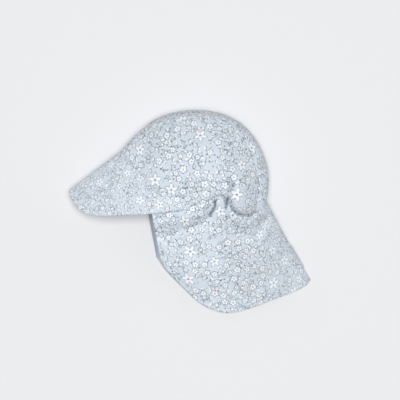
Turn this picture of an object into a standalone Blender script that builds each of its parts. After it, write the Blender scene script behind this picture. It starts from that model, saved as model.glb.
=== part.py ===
"""A small child's legionnaire cap, lying on its right side.

X runs from the tip of the peak to the back corner of the neck flap, Y from the flap's hem to the
top of the crown, and Z up from the surface that the cap lies on, so the wearer's left is up. The
origin lies on that surface, under the middle of the outline.

The cap's centre line runs round its outline, at about half its height. The tables give the upper
half, and the lower half mirrors it and lies flat where it rests. Each piece is a sheet of cloth,
worked out as its outer face and thickened inwards.
"""

import math
from collections import namedtuple

import bmesh
import bpy
import numpy as np

# Driving sizes, in metres
CROWN_LENGTH = 0.1885  # forehead to the back of the head
CROWN_HEIGHT = 0.136  # top of the crown to its lowest edge, at the nape
CROWN_WIDTH = 0.112  # ear to ear, as the cap lies
PEAK_REACH = 0.085  # length of the peak along its centre fold
FLAP_DROP = 0.118  # length of the flap along its centre fold
CROWN_WALL = 0.0018
PEAK_WALL = 0.0024
FLAP_WALL = 0.0016
SEAM_GAP = 0.0005  # left free at each edge that is sewn to the next piece
TUCK = 0.0022  # clear space between the peak and the flap's front end inside it
FLAP_BULGE = 0.004  # how far the flap swells between its seam and its hem
FLAP_SLIP = 0.0085  # how far the lower half of the flap shows past the front of the upper one
FLAP_BOW = 0.0015  # how far the flap's fold bows in between the nape and its corner

# Heights of the centre line as shares of CROWN_WIDTH: round the crown, and where it ends
MIDDLE_SHARE = 0.45
PEAK_TIP_SHARE = 0.38
FLAP_CORNER_SHARE = 0.07
BAND_TURN = math.radians(50)  # how far the centre band turns from upright before its seam

# How many steps each sheet is cut into
ARCH_STEPS = 30  # from the forehead to the nape, along both seams
BAND_STEPS_ACROSS = 10
LEFT_PANEL_STEPS = (48, 12)  # along its lower edge, and from its top to its rim
RIGHT_PANEL_STEPS = (30, 6)
PEAK_STEPS = (26, 8)  # round the peak, and from its seam to its edge
FLAP_STEPS = (56, 16)  # round the flap, and from its seam to its hem

CrownRow = namedtuple("CrownRow", "centre_x centre_y seam_x seam_y seam_z")
EdgeRow = namedtuple("EdgeRow", "x y z puff")
PeakRow = namedtuple("PeakRow", "forwards downwards z")
FlapRow = namedtuple("FlapRow", "backwards downwards z")
Fold = namedtuple("Fold", "rise width line")

# Centre line and upper seam of the centre band, from the forehead over the top to the nape
# x is a share of CROWN_LENGTH, y of CROWN_HEIGHT and z of CROWN_WIDTH
CROWN = [
    CrownRow(0.000, 0.616, 0.122, 0.418, 0.70),
    CrownRow(0.109, 0.779, 0.174, 0.624, 0.72),
    CrownRow(0.252, 0.925, 0.265, 0.802, 0.73),
    CrownRow(0.427, 0.993, 0.407, 0.906, 0.73),
    CrownRow(0.617, 0.987, 0.584, 0.919, 0.73),
    CrownRow(0.794, 0.896, 0.746, 0.835, 0.73),
    CrownRow(0.924, 0.704, 0.862, 0.662, 0.72),
    CrownRow(0.995, 0.455, 0.920, 0.438, 0.70),
    CrownRow(1.000, 0.276, 0.930, 0.221, 0.67),
    CrownRow(0.988, 0.146, 0.915, 0.033, 0.62),
]

# Lower edge of the upper side panel, from the forehead under the ear to the nape
# A high puff keeps the cloth up until close to the edge, as the elastic does behind the ear
EDGE = [
    EdgeRow(0.122, 0.418, 0.70, 2.2),
    EdgeRow(0.190, 0.305, 0.79, 2.2),
    EdgeRow(0.291, 0.230, 0.85, 2.2),
    EdgeRow(0.401, 0.175, 0.88, 2.2),
    EdgeRow(0.475, 0.100, 0.88, 2.4),
    EdgeRow(0.556, 0.113, 0.875, 3.0),
    EdgeRow(0.631, 0.169, 0.86, 4.0),
    EdgeRow(0.685, 0.188, 0.84, 4.0),
    EdgeRow(0.727, 0.146, 0.81, 4.0),
    EdgeRow(0.746, 0.065, 0.76, 4.5),
    EdgeRow(0.794, 0.019, 0.72, 5.0),
    EdgeRow(0.856, 0.000, 0.67, 4.5),
    EdgeRow(0.915, 0.033, 0.62, 3.5),
]
PANEL_TOP = (0.680, 0.491, 1.0)

# Outer edge of the peak from its tip to its end under the ear, measured from the peak's seam
# The seam follows the end of the band, at these shares of its half width, and then the crown's edge
PEAK_ON_BAND = (0, 0.35, 0.7)
PEAK_EDGE = [
    PeakRow(0.797, 0.602, 0.38),
    PeakRow(0.780, 0.681, 0.48),
    PeakRow(0.795, 0.681, 0.57),
    PeakRow(0.782, 0.617, 0.65),
    PeakRow(0.694, 0.476, 0.72),
    PeakRow(0.569, 0.347, 0.79),
    PeakRow(0.374, 0.233, 0.84),
    PeakRow(0.029, 0.040, 0.875),
]

# Hem of the flap from its back corner to its front edge, measured from the flap's seam
# The seam follows the end of the band, and then the crown's edge back to inside the peak
FLAP_ON_BAND = (0, 0.5)
FLAP_HEM = [
    FlapRow(0.492, 0.865, 0.07),
    FlapRow(0.475, 0.893, 0.10),
    FlapRow(0.423, 0.867, 0.12),
    FlapRow(0.312, 0.905, 0.14),
    FlapRow(0.217, 1.002, 0.14),
    FlapRow(0.130, 1.108, 0.14),
    FlapRow(0.032, 1.228, 0.14),
    FlapRow(-0.021, 1.265, 0.14),
    FlapRow(-0.042, 1.205, 0.15),
    FlapRow(-0.042, 1.068, 0.15),
    FlapRow(-0.032, 0.938, 0.16),
    FlapRow(-0.032, 0.898, 0.18),
    FlapRow(0.045, 0.843, 0.22),
    FlapRow(0.145, 0.801, 0.29),
]

# Dents (-) and rolls (+) of the upper half: the rise as a share of CROWN_WIDTH, the half width of
# CROWN_LENGTH, and the line that the fold follows as shares of CROWN_LENGTH and CROWN_HEIGHT, or
# FLAP_DROP on the flap
CROWN_FOLDS = [
    Fold(-0.085, 0.033, [(0.733, 0.332), (0.727, 0.184)]),
    Fold(-0.022, 0.046, [(0.746, 0.347), (0.788, 0.530)]),
    Fold(-0.020, 0.033, [(0.142, 0.699), (0.177, 0.606)]),
]
FLAP_FOLDS = [
    Fold(0.035, 0.045, [(0.204, -0.064), (0.435, -0.020), (0.611, 0.124)]),
    Fold(-0.045, 0.031, [(0.265, -0.221), (0.427, -0.139), (0.536, -0.060), (0.617, 0.115)]),
    Fold(0.035, 0.050, [(0.679, 0.190), (0.698, -0.060), (0.740, -0.363)]),
    Fold(-0.050, 0.025, [(0.727, 0.146), (0.740, 0.027)]),
    Fold(0.033, 0.033, [(0.766, -0.015), (0.862, -0.060), (0.970, 0.049)]),
    Fold(-0.045, 0.033, [(0.740, -0.102), (0.821, -0.199), (0.915, -0.221), (0.991, -0.027)]),
    Fold(-0.030, 0.108, [(0.808, -0.794), (1.112, -0.491)]),
]

PALE_BLUE = (0.60, 0.68, 0.74)


def on_crown(shares):
    """Metres from the forehead, the crown's lowest edge and the surface that the cap lies on."""
    return np.asarray(shares, float) * (CROWN_LENGTH, CROWN_HEIGHT, CROWN_WIDTH)


def ramp(value, start, end):
    """Rises from 0 at start to 1 at end."""
    return np.clip((value - start) / (end - start), 0, 1)


def spline(rows, at, mirrored=False):
    """Smooth curve through rows, where at counts rows. A mirrored curve crosses row 0 upright."""
    rows = np.asarray(rows, float)
    before_first = 2 * rows[0] - rows[1]
    if mirrored:
        before_first[:2] = rows[1][:2]
    padded = np.vstack([before_first, rows, 2 * rows[-1] - rows[-2]])
    first = np.clip(np.floor(at).astype(int), 0, len(rows) - 2)
    t = (at - first)[..., None]
    p, q, r, s = (padded[first + k] for k in range(4))
    return q + 0.5 * t * (r - p + t * (2 * p - 5 * q + 4 * r - s + t * (3 * (q - r) + s - p)))


def fold_height(points, fold, size):
    """How far a fold lifts each point. Its line is straight between corners, given as shares."""
    corners = [np.array(corner) * size for corner in fold.line]
    distances = []
    for start, end in zip(corners, corners[1:]):
        along, away = end - start, points[..., :2] - start
        share = np.clip(away @ along / (along @ along), 0, 1)
        distances.append(np.linalg.norm(away - share[..., None] * along, axis=-1))
    across = np.min(distances, axis=0) / (fold.width * CROWN_LENGTH)
    return fold.rise * CROWN_WIDTH * np.exp(-(across**2))


def folded(points):
    """The upper half with its dents and rolls."""
    points = points.copy()
    heights = [fold_height(points, fold, (CROWN_LENGTH, CROWN_HEIGHT)) for fold in CROWN_FOLDS]
    heights += [fold_height(points, fold, (CROWN_LENGTH, FLAP_DROP)) for fold in FLAP_FOLDS]
    points[..., 2] += sum(heights)
    return points


def laid_down(points, middle):
    """The lower half: the upper one mirrored about the centre line, and flat where it rests."""
    points = points.copy()
    points[..., 2] = np.maximum(0, 2 * middle * CROWN_WIDTH - points[..., 2])
    return points


def two_halves(lower, upper):
    """Rows of one sheet: across the lower half to the fold, then across the upper half."""
    return np.concatenate([lower[:, :0:-1], upper], axis=1)


def band_points(along, across):
    """Upper half of the centre band: along is 0 at the forehead and 1 at the nape, across 0 to 1."""
    rows = [(*row[:2], MIDDLE_SHARE, *row[2:]) for row in CROWN]
    rows = spline(rows, np.asarray(along) * (len(CROWN) - 1))
    centre, seam = rows[..., :3], rows[..., 3:]
    turn = BAND_TURN * np.asarray(across)[..., None]
    inwards = (1 - np.cos(turn)) / (1 - math.cos(BAND_TURN))
    upwards = np.sin(turn) / math.sin(BAND_TURN)
    return on_crown(centre + (seam - centre) * np.concatenate([inwards, inwards, upwards], -1))


def panel_points(edge_steps, rings):
    """Upper side panel, ring by ring from its top to its rim, which runs up the arch and back."""
    arch = spline([row[2:] for row in CROWN], np.linspace(0, len(CROWN) - 1, ARCH_STEPS + 1))
    puff = np.linspace(EDGE[0].puff, EDGE[-1].puff, ARCH_STEPS + 1)
    arch = np.concatenate([arch, puff[:, None]], -1)
    edge = spline(EDGE, np.linspace(len(EDGE) - 1, 0, edge_steps + 1))
    rows = np.concatenate([arch, edge[1:]])
    rim, puff = on_crown(rows[:, :3]), rows[:, 3]
    top = on_crown(PANEL_TOP)
    reach = np.linalg.norm((rim - top)[:, :2], axis=-1)
    rho = np.linspace(0, 1, rings + 1)[:, None] * (1 - SEAM_GAP / reach)
    points = top + rho[..., None] * (rim - top)
    points[..., 2] = rim[:, 2] + (top[2] - rim[:, 2]) * (1 - rho**puff)
    return points


def loft(seam, edge, across, along):
    """Straight lines from a seam, left clear of it by the seam's gap, to a sheet's outer edge."""
    counts = across * (len(seam) - 1)
    start, end = spline(seam, counts, mirrored=True), spline(edge, counts, mirrored=True)
    gap = SEAM_GAP / np.linalg.norm(end - start, axis=-1, keepdims=True)
    share = gap + along[..., None, None] * (1 - gap)
    return start + share * (end - start)


def peak_points(across, out):
    """Upper half of the peak, from its fold to its end under the ear."""
    seam = [band_points(0.0, half_width) for half_width in PEAK_ON_BAND]
    seam += [on_crown(row[:3]) for row in EDGE[: len(PEAK_EDGE) - len(seam)]]
    edge = [
        (x - row.forwards * PEAK_REACH, y - row.downwards * PEAK_REACH, row.z * CROWN_WIDTH)
        for (x, y, _), row in zip(seam, PEAK_EDGE)
    ]
    return loft(seam, edge, across, out)


def flap_points(across, down):
    """Upper half of the flap, from its fold to its front edge."""
    seam = [band_points(1.0, half_width) for half_width in FLAP_ON_BAND]
    seam += [on_crown(row[:3]) for row in EDGE[::-1][: len(FLAP_HEM) - len(seam)]]
    hem = [
        (x + row.backwards * FLAP_DROP, y - row.downwards * FLAP_DROP, row.z * CROWN_WIDTH)
        for (x, y, _), row in zip(seam, FLAP_HEM)
    ]
    points = loft(seam, hem, across, down)
    swell = np.sin(math.pi * down)[:, None]
    points[..., 2] += FLAP_BULGE * swell * ramp(across, 0, 0.2)
    points[..., 0] -= FLAP_BOW * swell * ramp(across, 0.3, 0)
    return points


def left_panel_sheet():
    return folded(panel_points(*LEFT_PANEL_STEPS))


def right_panel_sheet():
    return laid_down(panel_points(*RIGHT_PANEL_STEPS), MIDDLE_SHARE)[:, ::-1]


def band_sheet():
    along = np.linspace(0, 1, ARCH_STEPS + 1)[:, None]
    across = np.linspace(0, 1 - 2 * SEAM_GAP / CROWN_WIDTH, BAND_STEPS_ACROSS // 2 + 1)[None, :]
    points = band_points(*np.broadcast_arrays(along, across))
    return two_halves(laid_down(points, MIDDLE_SHARE), folded(points))


def peak_sheet():
    steps_round, steps_out = PEAK_STEPS
    out = np.linspace(0, 1, steps_out + 1)
    points = peak_points(np.linspace(0, 1, steps_round // 2 + 1), out)
    middle = MIDDLE_SHARE + (PEAK_TIP_SHARE - MIDDLE_SHARE) * out[:, None]
    return two_halves(laid_down(points, middle), points)[:, ::-1]


def flap_sheet():
    steps_round, steps_down = FLAP_STEPS
    across = np.linspace(0, 1, steps_round // 2 + 1)
    down = np.linspace(0, 1, steps_down + 1) ** 1.2  # finer near the gathers
    upper = flap_points(across, down)
    down = down[:, None]
    lower = laid_down(upper, MIDDLE_SHARE + (FLAP_CORNER_SHARE - MIDDLE_SHARE) * down)
    lower[..., 0] -= FLAP_SLIP * ramp(down, 0, 0.35) * across**4
    # The front end lies inside the peak, so the peak's wall comes between it and the outside
    inside_peak = (PEAK_WALL + TUCK) * ramp(across, 0.62, 0.73) * ramp(down, 0.75, 0.45)
    lower[..., 2] += inside_peak
    upper[..., 2] -= inside_peak
    return two_halves(lower, folded(upper))


def cotton(name, colour):
    """Matt woven cotton of one colour."""
    material = bpy.data.materials.new(name)
    material.use_nodes = True
    shader = material.node_tree.nodes["Principled BSDF"]
    shader.inputs["Base Color"].default_value = (*colour, 1)
    shader.inputs["Roughness"].default_value = 0.9
    shader.inputs["Metallic"].default_value = 0
    return material


def build_piece(name, points, wall, colour):
    """A named piece through rows of points. Points that meet, as at a panel's top, become one."""
    bm = bmesh.new()
    grid = [[bm.verts.new(point) for point in row] for row in points]
    for row, next_row in zip(grid, grid[1:]):
        for i in range(len(row) - 1):
            bm.faces.new((row[i], row[i + 1], next_row[i + 1], next_row[i]))
    bmesh.ops.remove_doubles(bm, verts=bm.verts, dist=1e-6)
    mesh = bpy.data.meshes.new(name)
    bm.to_mesh(mesh)
    bm.free()
    mesh.shade_smooth()
    mesh.materials.append(cotton(name, colour))
    piece = bpy.data.objects.new(name, mesh)
    bpy.context.scene.collection.objects.link(piece)
    thicken = piece.modifiers.new("Wall", "SOLIDIFY")
    thicken.thickness = wall
    thicken.offset = -1


def main():
    for thing in list(bpy.data.objects):
        bpy.data.objects.remove(thing)
    sheets = {
        "side_panel_left": (left_panel_sheet(), CROWN_WALL),
        "side_panel_right": (right_panel_sheet(), CROWN_WALL),
        "centre_band": (band_sheet(), CROWN_WALL),
        "peak": (peak_sheet(), PEAK_WALL),
        "neck_flap": (flap_sheet(), FLAP_WALL),
    }
    outline = np.concatenate([points.reshape(-1, 3) for points, _ in sheets.values()])
    middle = (outline.min(axis=0) + outline.max(axis=0)) / 2
    middle[2] = 0
    for name, (points, wall) in sheets.items():
        build_piece(name, points - middle, wall, PALE_BLUE)


main()
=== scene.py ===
"""The looks of a small child's cotton legionnaire cap, lying on its right side.

Lengths are in metres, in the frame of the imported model: X from the tip of the peak towards the back
corner of the neck flap, Y from the flap's hem to the top of the crown, Z up from the floor. Each
piece of cloth is worked out as the outer face of a sheet, together with its flat cut, which carries
the print and the weave.
"""

import math
from collections import namedtuple

import bmesh
import bpy
import numpy as np
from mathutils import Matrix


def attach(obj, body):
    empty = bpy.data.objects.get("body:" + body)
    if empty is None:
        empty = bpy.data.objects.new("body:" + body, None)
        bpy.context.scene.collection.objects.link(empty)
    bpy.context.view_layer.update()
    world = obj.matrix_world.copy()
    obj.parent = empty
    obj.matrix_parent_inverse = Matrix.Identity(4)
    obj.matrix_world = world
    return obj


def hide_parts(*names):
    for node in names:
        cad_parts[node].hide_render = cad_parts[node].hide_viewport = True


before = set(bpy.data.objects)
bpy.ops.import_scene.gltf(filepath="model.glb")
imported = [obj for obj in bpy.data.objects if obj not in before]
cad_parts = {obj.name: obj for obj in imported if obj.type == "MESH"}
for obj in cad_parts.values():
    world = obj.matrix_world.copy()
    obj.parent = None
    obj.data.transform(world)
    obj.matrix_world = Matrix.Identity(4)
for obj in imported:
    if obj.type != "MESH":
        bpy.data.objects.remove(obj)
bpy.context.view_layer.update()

# Sizes of the cap, as in its source
CROWN_LENGTH, CROWN_HEIGHT, CROWN_WIDTH = 0.1885, 0.136, 0.112
PEAK_REACH, FLAP_DROP = 0.085, 0.118
CROWN_WALL, PEAK_WALL, FLAP_WALL = 0.0018, 0.0024, 0.0016
TUCK, FLAP_BULGE, FLAP_SLIP, FLAP_BOW = 0.0022, 0.004, 0.0085, 0.0015
MIDDLE_SHARE, PEAK_TIP_SHARE, FLAP_CORNER_SHARE = 0.45, 0.38, 0.07
BAND_TURN = math.radians(50)
FRONT_SLIP = 0.0030  # how far the front of the upper half leans towards the lower one's
FOREHEAD = (-0.08827, -0.00542, 0)  # where the shares below are measured from

# Sewing
SEAM_DIP, SEAM_HALF = 0.0010, 0.0007  # how deep a sewn seam lies, and its half width
HEM_ROW = 0.005  # topstitching, from the edge of the peak and of the flap
HEM_RISE, HEM_SLOPE = 0.00025, 0.0015  # how proud the doubled hem stands, and where that ends
ROW_DIP, ROW_HALF = 0.00035, 0.0009  # how deep the stitches pull the cloth in, and how wide
STITCH, STITCH_PITCH, THREAD = 0.0026, 0.0034, 0.00045
ALLOWANCE = (0.005, 0.0025, 0.0009)  # rows of the flap's seam allowance, from the crown's edge
ALLOWANCE_GAP = 0.0003  # between the crown's inner side and the seam allowance
INSIDE_BAND = 0.002  # how deep under the band the seam allowance lies
HOLLOW = np.array((0.02, 0.045, 0.05))  # inside the crown, where its seams dip towards

# Rows of the sheets' grids: about how long each sheet is, and the steps between its rows
FINE_ROWS = np.array((0.0002, 0.0005, 0.0009, 0.0014, 0.002, 0.0027, 0.0035, 0.0044))
PANEL_RAY, BAND_LENGTH, BAND_HALF = 0.07, 0.31, 0.032
PEAK_HALF, PEAK_DEPTH, FLAP_HALF, FLAP_DEPTH = 0.16, 0.075, 0.27, 0.12
CROWN_STEP, ACROSS_STEP, DOWN_STEP = 0.0013, 0.0014, 0.0012
# A side panel's steps up the arch and back along the edge, and the step out from its top
PanelGrid = namedtuple("PanelGrid", "arch_steps edge_steps step")
UPPER_GRID, LOWER_GRID = PanelGrid(210, 250, CROWN_STEP), PanelGrid(120, 120, 0.003)

CrownRow = namedtuple("CrownRow", "centre_x centre_y seam_x seam_y seam_z")
EdgeRow = namedtuple("EdgeRow", "x y z puff")
PeakRow = namedtuple("PeakRow", "forwards downwards z")
FlapRow = namedtuple("FlapRow", "backwards downwards z")
Fold = namedtuple("Fold", "rise width line")

CROWN = [
    CrownRow(0.000, 0.616, 0.122, 0.418, 0.70),
    CrownRow(0.109, 0.779, 0.174, 0.624, 0.72),
    CrownRow(0.252, 0.925, 0.265, 0.802, 0.73),
    CrownRow(0.427, 0.993, 0.407, 0.906, 0.73),
    CrownRow(0.617, 0.987, 0.584, 0.919, 0.73),
    CrownRow(0.794, 0.896, 0.746, 0.835, 0.73),
    CrownRow(0.924, 0.704, 0.862, 0.662, 0.72),
    CrownRow(0.995, 0.455, 0.920, 0.438, 0.70),
    CrownRow(1.000, 0.276, 0.930, 0.221, 0.67),
    CrownRow(0.988, 0.146, 0.915, 0.033, 0.62),
]
EDGE = [
    EdgeRow(0.122, 0.418, 0.70, 2.2),
    EdgeRow(0.190, 0.305, 0.79, 2.2),
    EdgeRow(0.291, 0.230, 0.85, 2.2),
    EdgeRow(0.401, 0.175, 0.88, 2.2),
    EdgeRow(0.475, 0.100, 0.88, 2.4),
    EdgeRow(0.556, 0.113, 0.875, 3.0),
    EdgeRow(0.631, 0.169, 0.86, 4.0),
    EdgeRow(0.685, 0.188, 0.84, 4.0),
    EdgeRow(0.727, 0.146, 0.81, 4.0),
    EdgeRow(0.746, 0.065, 0.76, 4.5),
    EdgeRow(0.794, 0.019, 0.72, 5.0),
    EdgeRow(0.856, 0.000, 0.67, 4.5),
    EdgeRow(0.915, 0.033, 0.62, 3.5),
]
PANEL_TOP = (0.680, 0.491, 1.0)
PEAK_ON_BAND = (0, 0.35, 0.7)
PEAK_EDGE = [
    PeakRow(0.797, 0.602, 0.38),
    PeakRow(0.780, 0.681, 0.48),
    PeakRow(0.795, 0.681, 0.57),
    PeakRow(0.782, 0.617, 0.65),
    PeakRow(0.694, 0.476, 0.72),
    PeakRow(0.569, 0.347, 0.79),
    PeakRow(0.374, 0.233, 0.84),
    PeakRow(0.029, 0.040, 0.875),
]
FLAP_ON_BAND = (0, 0.5)
FLAP_HEM = [
    FlapRow(0.492, 0.865, 0.07),
    FlapRow(0.475, 0.893, 0.10),
    FlapRow(0.423, 0.867, 0.12),
    FlapRow(0.312, 0.905, 0.14),
    FlapRow(0.217, 1.002, 0.14),
    FlapRow(0.130, 1.108, 0.14),
    FlapRow(0.032, 1.228, 0.14),
    FlapRow(-0.021, 1.265, 0.14),
    FlapRow(-0.042, 1.205, 0.15),
    FlapRow(-0.042, 1.068, 0.15),
    FlapRow(-0.032, 0.938, 0.16),
    FlapRow(-0.032, 0.898, 0.18),
    FlapRow(0.045, 0.843, 0.22),
    FlapRow(0.145, 0.801, 0.29),
]
# Soft dents and rolls of the upper half, as shares of the crown's sizes and of the flap's drop
CROWN_FOLDS = [
    Fold(-0.045, 0.036, [(0.733, 0.310), (0.727, 0.184)]),
    Fold(-0.022, 0.046, [(0.746, 0.347), (0.788, 0.530)]),
    Fold(-0.020, 0.033, [(0.142, 0.699), (0.177, 0.606)]),
]
FLAP_FOLDS = [
    Fold(0.035, 0.045, [(0.204, -0.064), (0.435, -0.020), (0.611, 0.124)]),
    Fold(-0.045, 0.031, [(0.265, -0.221), (0.427, -0.139), (0.536, -0.060), (0.617, 0.115)]),
    Fold(0.035, 0.050, [(0.679, 0.190), (0.698, -0.060), (0.740, -0.363)]),
    Fold(-0.050, 0.025, [(0.727, 0.146), (0.740, 0.027)]),
    Fold(0.033, 0.033, [(0.766, -0.015), (0.862, -0.060), (0.970, 0.049)]),
    Fold(-0.045, 0.033, [(0.740, -0.102), (0.821, -0.199), (0.915, -0.221), (0.991, -0.027)]),
    Fold(-0.030, 0.108, [(0.808, -0.794), (1.112, -0.491)]),
]
# Sharp creases that the elastic pulls into the cloth: rise, half width and line in millimetres
CREASES = [
    Fold(-6.6, 1.4, [(31.6, 15.6), (31.0, 6.0), (25.5, -2.5)]),
    Fold(-3.4, 1.8, [(25.5, -2.5), (12.8, -13.4), (-3.8, -20.1)]),
    Fold(-6.0, 1.5, [(47.9, 19.5), (46.0, 5.4)]),
    Fold(-4.2, 1.7, [(53.7, 2.9), (60.1, -1.0), (67.8, -3.5), (76.7, -3.5), (83.1, 0.3)]),
    Fold(-0.9, 1.5, [(29.4, 16.9), (38.0, 20.0), (46.0, 20.7)]),
    Fold(-3.6, 4.2, [(50.5, 28.0), (51.5, 35.0)]),
    Fold(-2.8, 5.0, [(80.0, -20.0), (91.0, -15.0)]),
    Fold(1.5, 4.2, [(37.0, 12.0), (36.0, 2.0), (28.0, -12.0)]),
    Fold(1.2, 4.2, [(58.0, 7.5), (68.0, 3.0), (79.0, 4.0)]),
]
CREASE_POWER = 1.7  # over 1 makes a crease round at its bottom
# Painted shade in the deeper creases: from which rise it is put, at which rise it is darkest, how wide
# and where
SHADED_CREASE, DARKEST_CREASE = -3, -6.0  # rises in millimetres
SHADED_SHARE = 0.75  # of a crease's width
UPPER_HALF = (0.045, 0.055)  # creases are shaded above these heights, on the upper half

# Pleats that fan out from the elastic
GATHER_POINT = np.array((0.0486, 0.0180))
PLEATS, PLEAT_RISE, PLEAT_REACH = 11, 0.0009, 0.042
PLEAT_START = (0.008, 0.022)

# Crinkles: how many waves, their length and their rise
CRINKLES = [(9, 0.060, 0.00032), (14, 0.028, 0.00013), (16, 0.012, 0.00004)]
CRINKLE_SEED = 7
PEAK_CRINKLES = 0.6  # the peak is stiffer

# How a side panel meets the band: over what share of the arch its dome sets in, and its slopes
ARCH_BLEND, DOME_SLOPE = 0.22, (1.2, 3)
RIM_SPREAD = 40  # the panel's rays are evened out over a fortieth of its rim to each side

# The flap's end lies inside the peak: between which shares across and down it moves in
TUCK_ACROSS, TUCK_DOWN = (0.62, 0.73), (0.75, 0.45)
FRONT_LEAN = 0.35  # share of the flap's drop by which its front has leaned over

# The print is finer on the peak, and on the flap near its fold: by how much, and how far from it
PEAK_PRINT = 1.45
FOLD_PRINT_X, FOLD_PRINT_Y = (0.030, 0.045), (0.20, 0.05)

# Greying, where 1 is a sewn edge: near seams and hems, partly painted shade in the seam grooves,
# painted shade in creases, and painted light and shade on the flap
SEAM_GREY_REACH, HEM_GREY_REACH, CREASE_PAINTED_SHADE = 0.004, 0.003, 10
# Painted light at the flap's front and painted shade at its back: how strong, where it turns, over how
# far
PAINTED_FLAP_SHADING, PAINTED_FLAP_SHADING_FROM, PAINTED_FLAP_SHADING_REACH = 1.5, 0.045, 0.045
# Painted shadow of the upper half on the lower half's front edge: how dark, and how wide
PAINTED_FRONT_SHADOW, PAINTED_FRONT_SHADOW_REACH = 6.5, 0.006

# Colours
GROUND = (0.662, 0.737, 0.815)
# Plain lining cotton, made darker than the cloth's reverse as painted shade inside the cap
LINING_WITH_PAINTED_SHADE = (0.52, 0.60, 0.67)
PETAL = (0.91, 0.942, 1.0)
INK = (0.04, 0.055, 0.08)
THREAD_COLOUR = (0.74, 0.80, 0.85)
FLOOR_COLOUR = (0.780, 0.786, 0.798)

# The print, in metres of cloth and shares of a flower
STAR = dict(Cell=0.034, Turn=0.5, Scatter=0.75, Radius=0.0098, Spread=0.25)
STAR |= dict(Petals=5.0, Waist=0.38, Point=0.95, Parting=0.6, Kept=0.55)
POSY = dict(Cell=0.0132, Turn=1.1, Scatter=0.62, Radius=0.0047, Spread=0.35)
POSY |= dict(Petals=5.0, Waist=0.52, Point=1.7, Parting=0.3, Kept=0.66)
BEAD = dict(Cell=0.0094, Turn=2.0, Scatter=0.75, Radius=0.0031, Spread=0.4)
BEAD |= dict(Petals=5.0, Waist=0.52, Point=1.8, Parting=0.0, Kept=0.42)
LEAF = dict(Cell=0.0068, Turn=0.2, Scatter=0.85, Length=0.0042, Width=0.0014, Kept=0.97)
FILLED_LEAVES = 0.74  # share of the leaves that are white, not only drawn
LEAF_BEND = 60.0  # how strongly a leaf curves
DOT_CELL, DOT_RADIUS = 0.0058, 0.00095
FLOWER_LINE, LEAF_LINE = (0.00038, 0.00048), (0.00034, 0.00042)  # distance out, and half width
LINE_BLUR, EDGE_BLUR = 0.00010, 0.00008
SHAKE = 0.0016  # how far the drawing strays
WEAVE_PITCH = 0.00042  # from thread to thread

# Light: the lamp's and the sky's shares, the lamp's breadth and tilt in degrees
KEY_SHARE, KEY_ANGLE, KEY_TILT = 0.880, 18, (-0.5, 1.0, 0)
SKY_SHARE = 0.200
BACKDROP = 1.06  # strength of the pale colour beyond the floor
FLOOR_RADIUS, FLOOR_LEVEL = 6, -0.0004

# Camera
CAMERA_AT = (0.0128, 0.0156, 3.0)
SCALE_LEVEL = 0.05  # the height at which a pixel is this long
IMAGE_PIXELS, PIXEL = 400, 0.0012775
SENSOR = 36


# Shapes
def on_crown(shares):
    """Metres from the forehead, the crown's lowest edge and the floor."""
    return np.asarray(shares, float) * (CROWN_LENGTH, CROWN_HEIGHT, CROWN_WIDTH)


def unit(vectors):
    """The same directions with a length of 1."""
    return vectors / np.maximum(np.linalg.norm(vectors, axis=-1, keepdims=True), 1e-12)


def ramp(value, start, end):
    """Rises from 0 at start to 1 at end."""
    return np.clip((value - start) / (end - start), 0, 1)


def spline(rows, at, mirrored=False):
    """Smooth curve through rows, where at counts rows. A mirrored curve crosses row 0 upright."""
    rows = np.asarray(rows, float)
    before_first = 2 * rows[0] - rows[1]
    if mirrored:
        before_first[:2] = rows[1][:2]
    padded = np.vstack([before_first, rows, 2 * rows[-1] - rows[-2]])
    first = np.clip(np.floor(at).astype(int), 0, len(rows) - 2)
    t = (at - first)[..., None]
    p, q, r, s = (padded[first + k] for k in range(4))
    return q + 0.5 * t * (r - p + t * (2 * p - 5 * q + 4 * r - s + t * (3 * (q - r) + s - p)))


def distance_to_line(points, corners):
    """How far each point is from a line with corners, seen from above."""
    distances = []
    for start, end in zip(corners, corners[1:]):
        along, away = end - start, points[..., :2] - start
        share = np.clip(away @ along / (along @ along), 0, 1)
        distances.append(np.linalg.norm(away - share[..., None] * along, axis=-1))
    return np.min(distances, axis=0)


def soft_folds(points, folds, size):
    """Height of the dents and rolls whose lines are shares of size."""
    height = 0
    for fold in folds:
        away = distance_to_line(points, [np.array(corner) * size for corner in fold.line])
        away = away / fold.width / CROWN_LENGTH
        height = height + fold.rise * CROWN_WIDTH * np.exp(-(away**2))
    return height


def from_crease(placed, fold):
    """How many half widths each point is from a crease."""
    corners = [np.array(corner) / 1000 for corner in fold.line]
    return distance_to_line(placed, corners) * 1000 / fold.width


def sharp_creases(placed):
    """Height of the creases."""
    nearness = (np.exp(-(from_crease(placed, fold) ** CREASE_POWER)) for fold in CREASES)
    return sum(fold.rise / 1000 * near for fold, near in zip(CREASES, nearness))


def creased(points):
    """Share of painted shade in a sharp crease, by how deep in it each point is, on the upper half
    only.
    """
    placed = points + FOREHEAD
    share = 0
    for fold in CREASES:
        if fold.rise < SHADED_CREASE:
            near = np.exp(-((from_crease(placed, fold) / SHADED_SHARE) ** 2))
            share = np.maximum(share, fold.rise / DARKEST_CREASE * near)
    return share * ramp(placed[..., 2], *UPPER_HALF)


def gathers(placed):
    """Small pleats that fan out from the elastic."""
    away = placed[..., :2] - GATHER_POINT
    reach, angle = np.linalg.norm(away, axis=-1), np.arctan2(away[..., 0], -away[..., 1])
    below = ramp(np.cos(angle), -0.2, 0.5)
    height = PLEAT_RISE * ramp(reach, *PLEAT_START) * np.exp(-((reach / PLEAT_REACH) ** 2)) * below
    return height * np.sin(PLEATS * angle + 0.9 * np.sin(3 * angle + 1) + 40 * reach)


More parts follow.
